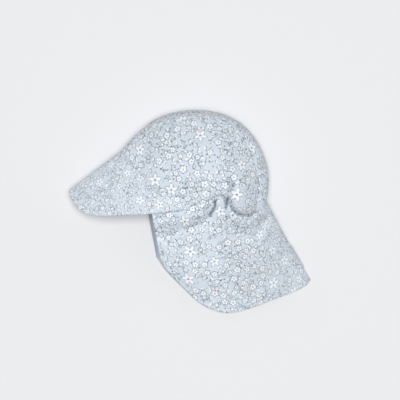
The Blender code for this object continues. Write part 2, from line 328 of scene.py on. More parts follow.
def crinkles(placed):
    """The unevenness of soft cotton that has been worn and washed."""
    rng = np.random.default_rng(CRINKLE_SEED)
    height = 0
    for count, length, rise in CRINKLES:
        for _ in range(count):
            turn, start = rng.uniform(0, math.tau, 2)
            stretch = rng.uniform(0.7, 1.4)
            wave = placed[..., 0] * math.cos(turn) + placed[..., 1] * math.sin(turn)
            height = height + rise * np.sin(math.tau * wave / (length * stretch) + start)
    return height


def lifted(points):
    """The upper half with its folds, creases, gathers and crinkles."""
    placed = points + FOREHEAD
    points = points.copy()
    points[..., 2] += soft_folds(points, CROWN_FOLDS, (CROWN_LENGTH, CROWN_HEIGHT))
    points[..., 2] += soft_folds(points, FLAP_FOLDS, (CROWN_LENGTH, FLAP_DROP))
    points[..., 2] += sharp_creases(placed) + gathers(placed) + crinkles(placed)
    return points


def laid_down(points, middle):
    """The lower half: the upper one mirrored about the centre line, and flat where it rests."""
    points = points.copy()
    points[..., 2] = np.maximum(0, 2 * middle * CROWN_WIDTH - points[..., 2])
    return points


def two_halves(lower, upper):
    """Rows of one sheet: across the lower half to the fold, then across the upper half."""
    return np.concatenate([lower[:, :0:-1], upper], axis=1)


def spacing(length, step, fine_start=False, fine_end=False):
    """Shares of a length, a step apart, and closer where the sheet has a seam or a hem."""
    start = FINE_ROWS if fine_start else np.array(())
    end = length - FINE_ROWS[::-1] if fine_end else np.array(())
    low = FINE_ROWS[-1] if fine_start else 0
    high = length - FINE_ROWS[-1] if fine_end else length
    main = np.linspace(low, high, max(2, round((high - low) / step)) + 1)
    return np.unique(np.concatenate([[0], start, main, end, [length]]).round(7)) / length


def band_points(along, across):
    """Upper half of the centre band: along runs from the forehead to the nape, across to a seam."""
    rows = [(*row[:2], MIDDLE_SHARE, *row[2:]) for row in CROWN]
    rows = spline(rows, np.asarray(along) * (len(CROWN) - 1))
    centre, seam = rows[..., :3], rows[..., 3:]
    turn = BAND_TURN * np.asarray(across)[..., None]
    inwards = (1 - np.cos(turn)) / (1 - math.cos(BAND_TURN))
    upwards = np.sin(turn) / math.sin(BAND_TURN)
    return on_crown(centre + (seam - centre) * np.concatenate([inwards, inwards, upwards], -1))


def panel_points(grid):
    """Upper side panel, ring by ring from its top to its rim, which runs up the arch and back."""
    arch_steps, edge_steps, step = grid
    rho = spacing(PANEL_RAY, step, fine_end=True)[:, None]
    arch = spline([row[2:] for row in CROWN], np.linspace(0, len(CROWN) - 1, arch_steps + 1))
    puff = np.linspace(EDGE[0].puff, EDGE[-1].puff, arch_steps + 1)
    arch = np.concatenate([arch, puff[:, None]], -1)
    edge = spline(EDGE, np.linspace(len(EDGE) - 1, 0, edge_steps + 1))
    rows = np.concatenate([arch, edge[1:]])
    rim, puff = on_crown(rows[:, :3]), rows[:, 3]
    top = on_crown(PANEL_TOP)
    # Inside the panel its rays spread evenly, also from where the rim is gathered
    reach, middle = len(rim) // RIM_SPREAD, rim[:-1]
    even = sum(np.roll(middle, k, axis=0) for k in range(-reach, reach + 1)) / (2 * reach + 1)
    even = np.concatenate([even, even[:1]])
    points = top + rho[..., None] * (even + rho[..., None] ** 6 * (rim - even) - top)
    rise = top[2] - rim[:, 2]
    # Along the arch the panel starts at the slope of the band, so that they make one dome
    share = np.arange(len(rows)) / arch_steps
    on_arch = ramp(np.minimum(share, 1 - share), 0, ARCH_BLEND)
    on_arch = on_arch**2 * (3 - 2 * on_arch)
    slope = np.linalg.norm((rim - top)[:, :2], axis=-1) / math.tan(BAND_TURN) / rise
    dome = (1 - rho**2) * (1 + (np.clip(slope, *DOME_SLOPE) / 2 - 1) * rho**2)
    points[..., 2] = rim[:, 2] + rise * (on_arch * dome + (1 - on_arch) * (1 - rho**puff))
    return points


def loft(seam, edge, across, along):
    """Straight lines from a seam to a sheet's outer edge."""
    counts = across * (len(seam) - 1)
    start, end = spline(seam, counts, mirrored=True), spline(edge, counts, mirrored=True)
    return start + along[..., None, None] * (end - start)


def peak_points(across, out):
    """Upper half of the peak, from its fold to its end under the ear."""
    seam = [band_points(0.0, half_width) for half_width in PEAK_ON_BAND]
    seam += [on_crown(row[:3]) for row in EDGE[: len(PEAK_EDGE) - len(seam)]]
    edge = [
        (x - row.forwards * PEAK_REACH, y - row.downwards * PEAK_REACH, row.z * CROWN_WIDTH)
        for (x, y, _), row in zip(seam, PEAK_EDGE)
    ]
    return loft(seam, edge, across, out)


def flap_points(across, down):
    """Upper half of the flap, from its fold to its front edge."""
    seam = [band_points(1.0, half_width) for half_width in FLAP_ON_BAND]
    seam += [on_crown(row[:3]) for row in EDGE[::-1][: len(FLAP_HEM) - len(seam)]]
    hem = [
        (x + row.backwards * FLAP_DROP, y - row.downwards * FLAP_DROP, row.z * CROWN_WIDTH)
        for (x, y, _), row in zip(seam, FLAP_HEM)
    ]
    points = loft(seam, hem, across, down)
    swell = np.sin(math.pi * down)[:, None]
    points[..., 2] += FLAP_BULGE * swell * ramp(across, 0, 0.2)
    points[..., 0] -= FLAP_BOW * swell * ramp(across, 0.3, 0)
    return points


def walked(points, axis):
    """Distance along one axis of a grid, from its first row or column."""
    legs = np.linalg.norm(np.diff(points, axis=axis), axis=-1)
    pad = [(0, 0), (0, 0)]
    pad[axis] = (1, 0)
    return np.pad(np.cumsum(legs, axis=axis), pad)


def outward(points, ring):
    """Unit normals of a grid of points, away from the inside of the cap."""
    if ring:
        padded = np.concatenate([points[:, -2:-1], points, points[:, 1:2]], axis=1)
        across = padded[:, 2:] - padded[:, :-2]
    else:
        across = np.gradient(points, axis=1)
    normals = np.cross(across, np.gradient(points, axis=0))
    if ring:
        normals[0] = normals[1].sum(axis=0)
    return unit(normals)


def unrolled(points):
    """Flat cut of a sheet made of straight lines down its columns, laid out from its middle fold."""
    starts, ends = points[0], points[-1]
    middle = points.shape[1] // 2
    flat_start, flat_end = np.zeros((len(starts), 2)), np.zeros((len(ends), 2))
    flat_end[middle] = (0, -np.linalg.norm(ends[middle] - starts[middle]))

    def gap(p, q):
        return np.linalg.norm(p - q)

    def meet(a, b, from_a, from_b, side):
        """The point at these distances from a and b, on one side of the line between them."""
        base = max(gap(a, b), 1e-9)
        along = (b - a) / base
        x = (from_a**2 - from_b**2 + base**2) / (2 * base)
        y = math.sqrt(max(from_a**2 - x**2, 0))
        return a + x * along + side * y * np.array((-along[1], along[0]))

    for step in (1, -1):
        stop = len(starts) if step > 0 else -1
        for j in range(middle + step, stop, step):
            i, a, b = j - step, starts[j], ends[j]
            from_start, from_end = gap(starts[i], b), gap(ends[i], b)
            flat_end[j] = meet(flat_start[i], flat_end[i], from_start, from_end, step)
            flat_start[j] = meet(flat_start[i], flat_end[j], gap(starts[i], a), gap(b, a), step)
    share = walked(points, 0)
    share = (share / share[-1])[..., None]
    return flat_start + share * (flat_end - flat_start)


def dipped(points, distance):
    """Points drawn in towards the hollow of the crown where they are close to a seam."""
    depth = SEAM_DIP * np.exp(-((distance / SEAM_HALF) ** 2))
    return points + unit(HOLLOW - FOREHEAD - points) * depth[..., None]


# A sheet's two faces, its flat cut, where the print is read, how grey it is from wear and painted
# shading, and its kind of grid
Cloth = namedtuple("Cloth", "outer inner cut print_at grey ring")


def cloth_of(points, cut, wall, seam, hem=None, ring=False, print_at=None):
    """A sheet with its wall, where seam and hem are each point's distance from them.

    Between the hem and its stitches the cloth is doubled, so it stands a little proud, and its edge
    is round. The stitches pull it in.
    """
    points = dipped(points, seam)
    normals = outward(points, ring)
    full = np.ones(points.shape[:2])
    rise = np.zeros(points.shape[:2])
    # Darker near seams, partly painted shade in their grooves, and painted shade in the deep creases
    grey = np.maximum(np.exp(-((seam / SEAM_GREY_REACH) ** 2)), CREASE_PAINTED_SHADE * creased(points))
    if hem is not None:
        radius = wall / 2
        full = np.sqrt(1 - (1 - np.clip(hem / radius, 0.02, 1)) ** 2)
        pulled = ROW_DIP * np.exp(-(((hem - HEM_ROW) / ROW_HALF) ** 2))
        rise = -radius * (1 - full) - pulled + HEM_RISE * ramp(hem, HEM_ROW, HEM_ROW - HEM_SLOPE)
        grey = np.maximum(grey, np.exp(-((hem / HEM_GREY_REACH) ** 2)))
    outer = points + normals * rise[..., None]
    outer[..., 2] = np.maximum(outer[..., 2], 0)
    inner = outer - normals * (wall * full)[..., None]
    inner[..., 2] = np.maximum(inner[..., 2], 0.0002)
    print_at = cut if print_at is None else print_at
    return Cloth(outer + FOREHEAD, inner + FOREHEAD, cut, print_at, grey, ring)


def panel_cloth(upper):
    """A side panel: its grid is rings round its top, and its cut is walked out from there."""
    points = panel_points(UPPER_GRID if upper else LOWER_GRID)
    flat_out = walked(points, 0)
    ways = unit((points[1:] - points[0, 0])[..., :2])
    ways = np.concatenate([ways[:1], ways])
    cut = flat_out[..., None] * ways
    seam = flat_out[-1] - flat_out
    if upper:
        return cloth_of(lifted(points), cut, CROWN_WALL, seam, ring=True)
    points, cut, seam = laid_down(points, MIDDLE_SHARE)[:, ::-1], cut[:, ::-1], seam[:, ::-1]
    return cloth_of(points, cut, CROWN_WALL, seam, ring=True)


def band_cloth():
    """The centre band, from the forehead to the nape."""
    along = spacing(BAND_LENGTH, CROWN_STEP, fine_start=True, fine_end=True)[:, None]
    across = spacing(BAND_HALF, DOWN_STEP, fine_end=True)[None, :]
    points = band_points(*np.broadcast_arrays(along, across))
    points = two_halves(laid_down(points, MIDDLE_SHARE), lifted(points))
    lengthways, sideways = walked(points, 0), walked(points, 1)
    middle = points.shape[1] // 2
    cut = np.stack([sideways - sideways[:, middle : middle + 1], -lengthways], -1)
    cut[..., 1] = cut[:, middle : middle + 1, 1]
    ends = np.minimum(lengthways, lengthways[-1] - lengthways)
    sides = np.minimum(sideways, sideways[:, -1:] - sideways)
    return cloth_of(points, cut, CROWN_WALL, np.minimum(ends, sides))


def peak_cloth():
    """The peak, folded on the cap's centre line."""
    across = spacing(PEAK_HALF, ACROSS_STEP, fine_end=True)
    out = spacing(PEAK_DEPTH, DOWN_STEP, fine_start=True, fine_end=True)
    points = peak_points(across, out)
    middle = MIDDLE_SHARE + (PEAK_TIP_SHARE - MIDDLE_SHARE) * out[:, None]
    lower = laid_down(points, middle)
    upper = points.copy()
    upper[..., 2] += PEAK_CRINKLES * crinkles(points + FOREHEAD)
    points = two_halves(lower, upper)[:, ::-1]
    out_from_seam = walked(points, 0)
    hem = out_from_seam[-1] - out_from_seam
    cut = unrolled(points)
    return cloth_of(points, cut, PEAK_WALL, out_from_seam, hem, print_at=PEAK_PRINT * cut)


def seam_allowance(across):
    """Rows behind the edge of the crown: inside the side panel, or just inside the centre band."""
    counts = across * (len(FLAP_HEM) - 1)
    on_edge = np.clip(len(EDGE) + 1 - counts, 0, len(EDGE) - 1)
    rim = spline(EDGE, on_edge)
    puff, rim = rim[:, 3:], on_crown(rim[:, :3])
    top = on_crown(PANEL_TOP)
    reach = np.linalg.norm((top - rim)[:, :2], axis=-1, keepdims=True)
    rows = []
    for inwards in ALLOWANCE:
        rho = 1 - inwards / reach
        row = rim + (1 - rho) * (top - rim)
        row[:, 2:] = rim[:, 2:] + (top[2] - rim[:, 2:]) * (1 - rho**puff)
        row[:, 2:] -= CROWN_WALL + ALLOWANCE_GAP
        # Next to the fold the flap is sewn to the band, so its allowance lies behind the band's end
        band = counts < len(FLAP_ON_BAND)
        on_band = band_points(np.array(1.0), np.clip(counts[band] / 2, 0, 1) * 0.5)
        to_hollow = unit(HOLLOW - FOREHEAD - on_band)
        row[band] = on_band + to_hollow * (0.3 * inwards + INSIDE_BAND)
        rows.append(row)
    return np.array(rows)


def finer_near_fold(cut):
    """Where the flap's print is read: its flowers are smaller near the fold at the back."""
    x, y = cut[..., 0], cut[..., 1]
    finer, reach = FOLD_PRINT_X
    print_x = x + finer * np.tanh(x / reach)
    finer, reach = FOLD_PRINT_Y
    print_y = y * (1 + finer * np.exp(-((x / reach) ** 2)))
    return np.stack([print_x, print_y], -1)


def flap_cloth():
    """The flap, folded at the back, with its seam allowance behind the crown's edge."""
    across = spacing(FLAP_HALF, ACROSS_STEP, fine_end=True)
    down = spacing(FLAP_DEPTH, DOWN_STEP, fine_start=True, fine_end=True)
    upper = flap_points(across, down)
    down = down[:, None]
    lower = laid_down(upper, MIDDLE_SHARE + (FLAP_CORNER_SHARE - MIDDLE_SHARE) * down)
    lower[..., 0] -= FLAP_SLIP * ramp(down, 0, FRONT_LEAN) * across**4
    upper[..., 0] -= FRONT_SLIP * ramp(down, 0, FRONT_LEAN) * across**4
    inside_peak = (PEAK_WALL + TUCK) * ramp(across, *TUCK_ACROSS) * ramp(down, *TUCK_DOWN)
    lower[..., 2] += inside_peak
    upper[..., 2] -= inside_peak
    smooth = two_halves(lower, upper)
    points = two_halves(lower, lifted(upper))
    from_seam = walked(smooth, 0)
    sideways = walked(smooth, 1)
    front = np.minimum(sideways, sideways[:, -1:] - sideways)
    hem = np.minimum(from_seam[-1] - from_seam, front)
    cut = unrolled(smooth)
    # Rows of seam allowance, which turn up behind the lower edge of the crown
    behind = seam_allowance(across)
    points = np.concatenate([two_halves(laid_down(behind, MIDDLE_SHARE), behind), points])
    way = unit(cut[:1] - cut[1:2])
    cut = np.concatenate([cut[:1] + way * depth for depth in ALLOWANCE] + [cut])
    depths = [np.full_like(from_seam[:1], depth) for depth in ALLOWANCE]
    from_seam = np.concatenate(depths + [from_seam])
    hem, front = (np.concatenate([rows[:1]] * len(ALLOWANCE) + [rows]) for rows in (hem, front))
    cloth = cloth_of(points, cut, FLAP_WALL, from_seam, hem, print_at=finer_near_fold(cut))
    # Painted light at the flap's front and painted shade at its back, and a painted shadow of the upper
    # half at the lower half's front edge
    from_front = cloth.outer[..., 0] - PAINTED_FLAP_SHADING_FROM
    grey = cloth.grey + PAINTED_FLAP_SHADING * np.tanh(from_front / PAINTED_FLAP_SHADING_REACH)
    # The upper half gets none of the painted shadow at the front edge
    front[:, front.shape[1] // 2 :] = 1
    return cloth._replace(grey=grey + PAINTED_FRONT_SHADOW * np.exp(-((front / PAINTED_FRONT_SHADOW_REACH) ** 4)))


# Meshes
def new_piece(name, mesh, materials):
    """A smooth-shaded object with this mesh and these materials."""
    mesh.shade_smooth()
    for material in materials:
        mesh.materials.append(material)
    piece = bpy.data.objects.new(name, mesh)
    bpy.context.scene.collection.objects.link(piece)
    return piece


def mesh_piece(name, cloth, materials, place):
    """A closed piece with its print outside and its lining inside. place shifts its print."""
    rows, columns = cloth.outer.shape[:2]
    numbers = np.arange(rows * columns).reshape(rows, columns)
    inside = numbers + rows * columns

    def quads(n, flipped=False):
        faces = np.stack([n[:-1, :-1], n[:-1, 1:], n[1:, 1:], n[1:, :-1]], -1).reshape(-1, 4)
        return faces[:, ::-1] if flipped else faces

    rims = [(numbers[-1], inside[-1])]
    if not cloth.ring:
        rims += [
            (numbers[0, ::-1], inside[0, ::-1]),
            (numbers[::-1, -1], inside[::-1, -1]),
            (numbers[:, 0], inside[:, 0]),
        ]
    edges = [np.stack([a[:-1], a[1:], b[1:], b[:-1]], -1) for a, b in rims]
    outside, lining, rim = quads(numbers), quads(inside, True), np.concatenate(edges)
    mesh = bpy.data.meshes.new(name)
    points = np.concatenate([cloth.outer.reshape(-1, 3), cloth.inner.reshape(-1, 3)])
    faces = np.concatenate([outside, lining, rim])
    mesh.from_pydata(points.tolist(), [], faces.tolist())
    corners = np.array([loop.vertex_index for loop in mesh.loops])
    cut = np.tile(cloth.print_at.reshape(-1, 2) + place, (2, 1))
    mesh.uv_layers.new(name="cut").data.foreach_set("uv", cut[corners].ravel())
    # The greying, from wear and from painted light and shade, kept on the mesh for its material
    grey = mesh.attributes.new("wear_and_painted_shading", "FLOAT", "POINT")
    grey.data.foreach_set("value", np.tile(cloth.grey.ravel(), 2))
    kinds = np.zeros(len(faces), dtype=np.int32)
    kinds[len(outside) : len(outside) + len(lining)] = 1
    mesh.polygons.foreach_set("material_index", kinds)
    bm = bmesh.new()
    bm.from_mesh(mesh)
    bmesh.ops.remove_doubles(bm, verts=bm.verts, dist=1e-6)
    bmesh.ops.dissolve_degenerate(bm, edges=bm.edges, dist=1e-7)
    bm.to_mesh(mesh)
    bm.free()
    return new_piece(name, mesh, materials)


def stitch_row(points, normals):
    """Ends of the stitches along a line on the cloth, with the cloth's normals there."""
    at = np.concatenate([[0], np.cumsum(np.linalg.norm(np.diff(points, axis=0), axis=-1))])
    starts = np.arange(0.001, at[-1] - STITCH, STITCH_PITCH)

    def there(values, where):
        return np.stack([np.interp(where, at, values[:, k]) for k in range(3)], -1)

    middle = starts + STITCH / 2
    return there(points, starts), there(points, starts + STITCH), there(normals, middle)


def stitches(name, row, thread):
    """Every stitch is a short round thread that bends down into the cloth at both ends."""
    verts, faces = [], []
    sides = 6
    shares = np.array((0, 0.12, 0.35, 0.65, 0.88, 1))
    heights = np.array((-0.75, 0.15, 0.45, 0.45, 0.15, -0.75)) * THREAD
    widths = np.array((0.3, 0.85, 1, 1, 0.85, 0.3)) * THREAD / 2
    turns = np.arange(sides) * math.tau / sides
    for start, end, normal in zip(*row):
        normal = normal / np.linalg.norm(normal)
        way = (end - start) / np.linalg.norm(end - start)
        side = np.cross(way, normal)
        first = len(verts)
        for share, height, width in zip(shares, heights, widths):
            centre = start + share * (end - start) + height * normal
            for turn in turns:
                verts.append(centre + width * (math.cos(turn) * side + math.sin(turn) * normal))
        for ring in range(len(shares) - 1):
            for k in range(sides):
                a, b = first + ring * sides + k, first + ring * sides + (k + 1) % sides
                faces.append((b, a, a + sides, b + sides))
        faces.append([first + k for k in range(sides)])
        faces.append([first + (len(shares) - 1) * sides + k for k in reversed(range(sides))])
    mesh = bpy.data.meshes.new(name)
    mesh.from_pydata([tuple(v) for v in verts], [], faces)
    return new_piece(name, mesh, [thread])


def line_on(cloth, distance, measured):
    """Points and normals of the line across a sheet where the measured distance is this one."""
    both = np.concatenate([cloth.outer, outward(cloth.outer, cloth.ring)], -1)
    line = []
    for j in range(both.shape[1]):
        order = np.argsort(measured[:, j])
        if measured[:, j].min() <= distance <= measured[:, j].max():
            column, there = both[order, j], measured[order, j]
            line.append([np.interp(distance, there, column[:, k]) for k in range(6)])
    line = np.array(line)
    return line[:, :3], line[:, 3:]


def hem_stitches(name, cloth, thread):
    """Topstitching along the hem of a sheet, on both of its halves."""
    from_hem = walked(cloth.outer[::-1], 0)[::-1]
    return stitches(name, stitch_row(*line_on(cloth, HEM_ROW, from_hem)), thread)


# Materials
class Mark:
    """A number or vector that varies over the cloth. Sums and products add nodes for them."""

    def __init__(self, tree, socket):
        self.tree, self.socket = tree, socket

    def math(self, operation, *others, clamp=False):
        node = self.tree.nodes.new("ShaderNodeMath")
        node.operation, node.use_clamp = operation, clamp
        for socket, value in zip(node.inputs, (self, *others)):
            feed(self.tree, socket, value)
        return Mark(self.tree, node.outputs[0])

    def __add__(self, other):
        return self.math("ADD", other)

    def __sub__(self, other):
        return self.math("SUBTRACT", other)

    def __mul__(self, other):
        return self.math("MULTIPLY", other)

    def __truediv__(self, other):
        return self.math("DIVIDE", other)

    def rsub(self, number):
        """The number less this."""
        return (self * -1.0) + number

    def above(self, limit, width):
        """1 where this is over the limit, 0 under it, with an edge of this width."""
        return ((self - limit) / width).math("ADD", 0.5, clamp=True)

    def below(self, limit, width):
        """1 where this is under the limit, 0 over it."""
        return ((self - limit) / width).math("MULTIPLY_ADD", -1.0, 0.5, clamp=True)

    def most(self, other):
        return self.math("MAXIMUM", other)

    def least(self, other):
        return self.math("MINIMUM", other)


def feed(tree, socket, value):
    if isinstance(value, Mark):
        value = value.socket
    if isinstance(value, bpy.types.NodeSocket):
        tree.links.new(value, socket)
    else:
        socket.default_value = value


def add_node(tree, kind, feeds=(), **settings):
    """Adds a node with its settings, and feeds its inputs with numbers or with other nodes."""
    node = tree.nodes.new("ShaderNode" + kind)
    for name, value in settings.items():
        setattr(node, name, value)
    for name, value in dict(feeds).items():
        feed(tree, node.inputs[name], value)
    return node


def out(node, name=0):
    return Mark(node.id_data, node.outputs[name])


def mixed(tree, share, under, over):
    """Colour under, with its share of the colour over."""
    node = add_node(tree, "Mix", {0: share}, data_type="RGBA")
    for socket, colour in zip([s for s in node.inputs if s.type == "RGBA"], (under, over)):
        feed(tree, socket, colour)
    return Mark(tree, next(s for s in node.outputs if s.type == "RGBA"))


def new_group(name, inputs, outputs):
    """An empty node group, its inputs by name, and what to call to feed its outputs."""
    tree = bpy.data.node_groups.new(name, "ShaderNodeTree")
    for title, kind in inputs:
        tree.interface.new_socket(title, in_out="INPUT", socket_type="NodeSocket" + kind)
    for title, kind in outputs:
        tree.interface.new_socket(title, in_out="OUTPUT", socket_type="NodeSocket" + kind)
    given = tree.nodes.new("NodeGroupInput")
    gives = tree.nodes.new("NodeGroupOutput")
    marks = {title: Mark(tree, given.outputs[title]) for title, _ in inputs}

    def give(title, mark):
        feed(tree, gives.inputs[title], mark)

    return tree, marks, give


def use_group(tree, group, feeds):
    node = tree.nodes.new("ShaderNodeGroup")
    node.node_tree = group
    for name, value in feeds.items():
        feed(tree, node.inputs[name], value)
    return node


def turned(tree, vector, angle):
    feeds = {"Vector": vector, "Angle": angle}
    return out(add_node(tree, "VectorRotate", feeds, rotation_type="Z_AXIS"))


def scaled(tree, vector, factor):
    return out(add_node(tree, "VectorMath", {0: vector, "Scale": factor}, operation="SCALE"))


def combined(tree, operation, one, other):
    return out(add_node(tree, "VectorMath", {0: one, 1: other}, operation=operation))


def noise(tree, vector, scale, detail, output="Fac"):
    feeds = {"Vector": vector, "Scale": scale, "Detail": detail}
    return out(add_node(tree, "TexNoise", feeds), output)


def scattered(tree, given):
    """Spots strewn over the cloth, one in each cell.

    Gives where this point is from the nearest spot, the room around that spot, three numbers by
    chance, and the spot's own place on the cloth.
    """
    per_cell = given["Cell"].math("POWER", -1.0)
    place = scaled(tree, turned(tree, given["Cloth"], given["Turn"]), per_cell)
    spots = {"Vector": place, "Scale": 1.0, "Randomness": given["Scatter"]}
    nearest = add_node(tree, "TexVoronoi", spots, voronoi_dimensions="2D", feature="F1")
    room = add_node(tree, "TexVoronoi", spots, voronoi_dimensions="2D", feature="N_SPHERE_RADIUS")
    away = combined(tree, "SUBTRACT", place, out(nearest, "Position"))
    xy = add_node(tree, "SeparateXYZ", {0: scaled(tree, away, given["Cell"])})
    chance = add_node(tree, "SeparateColor", {0: out(nearest, "Color")})
    spot = scaled(tree, out(nearest, "Position"), given["Cell"])
    spot = turned(tree, spot, given["Turn"] * -1.0)
    room = out(room, "Radius") * given["Cell"]
    return out(xy, "X"), out(xy, "Y"), room, [out(chance, k) for k in range(3)], spot


def strewn_group(name, sizes, results):
    """A group that strews things over the cloth by their named sizes."""
    inputs = [("Cloth", "Vector")] + [(size, "Float") for size in sizes]
    outputs = [(result, "Float") for result in results] + [("Centre", "Vector")]
    return new_group(name, inputs, outputs)


def flower_group():
    """White flowers strewn over the cloth, each with a dark eye and a thin drawn outline."""
    tree, given, give = strewn_group("strewn flowers", STAR, ("White", "Line", "Clear", "Size"))
    x, y, room, (chance, kept, turn), spot = scattered(tree, given)
    kept = kept.math("LESS_THAN", given["Kept"])
    reach = (x * x + y * y).math("SQRT")
    radius = given["Radius"] * (given["Spread"] * (chance - 0.5) + 1.0)
    radius = radius.least(room * 0.94) * kept
    angle = (y.math("ARCTAN2", x) / math.tau + turn) * given["Petals"]
    between = (angle.math("FRACT") - 0.5).math("ABSOLUTE") * 2.0
    tip = between.math("POWER", given["Point"]).rsub(1.0)
    rim = radius * (given["Waist"] + given["Waist"].rsub(1.0) * tip)
    inside = rim - reach
    # The outline is broken here and there, and short strokes part the petals near the eye
    broken = noise(tree, given["Cloth"], 480.0, 1.0).above(0.43, 0.1)
    outline = (inside + FLOWER_LINE[0]).math("ABSOLUTE").below(FLOWER_LINE[1], LINE_BLUR) * broken
    eye = reach.below(radius * 0.08 + 0.0004, LINE_BLUR)
    parting = reach * between.rsub(1.0) * math.pi / given["Petals"]
    parting = parting.below(0.00017, EDGE_BLUR) * (reach / radius.most(1e-5)).below(0.62, 0.1)
    line = outline.most(eye).most(parting * given["Parting"]) * kept
    give("White", inside.above(0.0, EDGE_BLUR) * kept)
    give("Line", line)
    give("Clear", reach - radius)
    give("Size", radius)
    give("Centre", spot)
    return tree


def leaf_group():
    """Small leaves and buds, some filled and some only drawn, with a short stem."""
    tree, given, give = strewn_group("strewn leaves", LEAF, ("White", "Line", "Size"))
    x, y, room, (chance, kept, turn), spot = scattered(tree, given)
    filled = kept.math("LESS_THAN", given["Kept"] * FILLED_LEAVES)
    kept = kept.math("LESS_THAN", given["Kept"])
    cosine, sine = (turn * math.tau).math("COSINE"), (turn * math.tau).math("SINE")
    along, aside = x * cosine + y * sine, y * cosine - x * sine
    half = (given["Length"] * (chance * 0.6 + 0.7)).least(room * 0.9)
    aside = aside - along * along * LEAF_BEND
    share = along / half
    inside = given["Width"] * (share * share).rsub(1.0) - aside.math("ABSOLUTE")
    # A filled leaf has its line on one side, and one that is only drawn a fainter one all round
    one_side = aside.above(0.0, LINE_BLUR).most(filled.rsub(1.0) * 0.6)
    outline = (inside + LEAF_LINE[0]).math("ABSOLUTE").below(LEAF_LINE[1], LINE_BLUR) * one_side
    stem = aside.math("ABSOLUTE").below(0.00024, EDGE_BLUR)
    stem = stem * share.math("ABSOLUTE").below(1.6, 0.05) * share.above(0.9, 0.1)
    give("White", inside.above(0.0, EDGE_BLUR) * filled)
    give("Line", outline.most(stem) * kept)
    give("Size", half)
    give("Centre", spot)
    return tree


def print_group(flowers, leaves):
    """Small white flowers, leaves and dots on the colour of the ground."""
    inputs = [("Cloth", "Vector"), ("Ground", "Color"), ("Petal", "Color"), ("Ink", "Color")]
    tree, given, give = new_group("flower print", inputs, [("Color", "Color")])

    def strewn(group, place, **values):
        node = use_group(tree, group, {"Cloth": place, **values})
        return {socket.name: Mark(tree, socket) for socket in node.outputs}

    # A little unevenness, as in a drawing by hand
    shaky = noise(tree, given["Cloth"], 330.0, 1.0, "Color")
    moved = scaled(tree, combined(tree, "SUBTRACT", shaky, (0.5, 0.5, 0.5)), SHAKE)
    drawn = combined(tree, "ADD", given["Cloth"], moved)
    cloth = combined(tree, "MULTIPLY", drawn, (1, 1, 0))
    stars, posies = strewn(flowers, cloth, **STAR), strewn(flowers, cloth, **POSY)
    beads, sprigs = strewn(flowers, cloth, **BEAD), strewn(leaves, cloth, **LEAF)

    def free_of(things, size, values):
        """1 where a whole spot stays clear of the bigger flowers that are printed."""
        other = strewn(flowers, things["Centre"], **values)
        clear = (other["Clear"] - things["Size"] - size).math("GREATER_THAN", 0.0)
        if values is POSY:
            clear = clear.most(free_of(other, 0.0005, STAR).rsub(1.0))
        return clear

    posies_kept = free_of(posies, 0.0005, STAR)
    beads_kept = free_of(beads, 0.0004, STAR) * free_of(beads, 0.0003, POSY)
    sprigs_kept = free_of(sprigs, 0.0, STAR) * free_of(sprigs, -0.0010, POSY)
    sprigs_kept = sprigs_kept * beads["Clear"].above(0.0004, 0.0002).most(beads_kept.rsub(1.0))
    white, line = stars["White"], stars["Line"]
    for things, kept in ((posies, posies_kept), (beads, beads_kept), (sprigs, sprigs_kept)):
        white, line = white.most(things["White"] * kept), line.most(things["Line"] * kept)
    # Loose dots, in patches between the flowers
    spots = {"Vector": scaled(tree, cloth, 1 / DOT_CELL), "Scale": 1.0, "Randomness": 0.9}
    seeds = add_node(tree, "TexVoronoi", spots, voronoi_dimensions="2D")
    dots = (out(seeds, "Distance") * DOT_CELL).below(DOT_RADIUS, LINE_BLUR)
    dots = dots * noise(tree, cloth, 62.0, 0.0).above(0.52, 0.02)
    clear_of_posies = posies["Clear"].above(0.0009, 0.0002).most(posies_kept.rsub(1.0))
    clear = stars["Clear"].above(0.001, 0.0002) * clear_of_posies
    line = line.most(dots * clear * white.rsub(1.0))
    petals = mixed(tree, white, given["Ground"], given["Petal"])
    give("Color", mixed(tree, line * 0.92, petals, given["Ink"]))
    return tree


def weave_group():
    """Plain weave: each thread goes over and under the next, and some threads are thicker."""
    inputs, outputs = [("Cloth", "Vector"), ("Thread", "Float")], ("Height", "Shade")
    tree, given, give = new_group("plain weave", inputs, [(name, "Float") for name in outputs])
    xy = add_node(tree, "SeparateXYZ", {0: given["Cloth"]})
    across = (out(xy, "X") / given["Thread"] * math.pi).math("SINE")
    down = (out(xy, "Y") / given["Thread"] * math.pi).math("SINE")
    over = (across * down).math("GREATER_THAN", 0.0)
    across, down = across.math("ABSOLUTE"), down.math("ABSOLUTE")
    height = across * over + down * over.rsub(1.0)

    def slubs(x, y):
        place = add_node(tree, "CombineXYZ", {0: out(xy, "X") * x, 1: out(xy, "Y") * y})
        return noise(tree, out(place), 1.0, 2.0)

    shade = slubs(90.0, 2100.0) + slubs(2100.0, 90.0)
    give("Height", height + shade * 0.4)
    give("Shade", shade - 1.0)
    return tree


def wear_and_shading_group():
    """Soft unevenness of cotton that has been washed: faint fading in patches, greyer along sewn edges,
    and painted shade and light in seam grooves, in creases and on the flap.
    """
    inputs = [("Color", "Color"), ("Cloth", "Vector"), ("Shade", "Float"), ("WearAndPaintedShading", "Float")]
    outputs = [("Color", "Color"), ("Roughness", "Float")]
    tree, given, give = new_group("washed cotton and painted shading", inputs, outputs)
    patches, flecks = noise(tree, given["Cloth"], 26.0, 3.0), noise(tree, given["Cloth"], 620.0, 2.0)
    uneven = (patches - 0.5) * 0.09 + (flecks - 0.5) * 0.34
    # Darker from wear along sewn edges, by painted shade in seam grooves and creases, and by painted
    # light and shade on the flap
    value = uneven + given["Shade"] * 0.16 + given["WearAndPaintedShading"] * -0.06 + 1.0
    node = add_node(tree, "HueSaturation", {"Value": value, "Color": given["Color"]})
    give("Color", out(node))
    give("Roughness", patches * 0.12 + 0.82)
    return tree


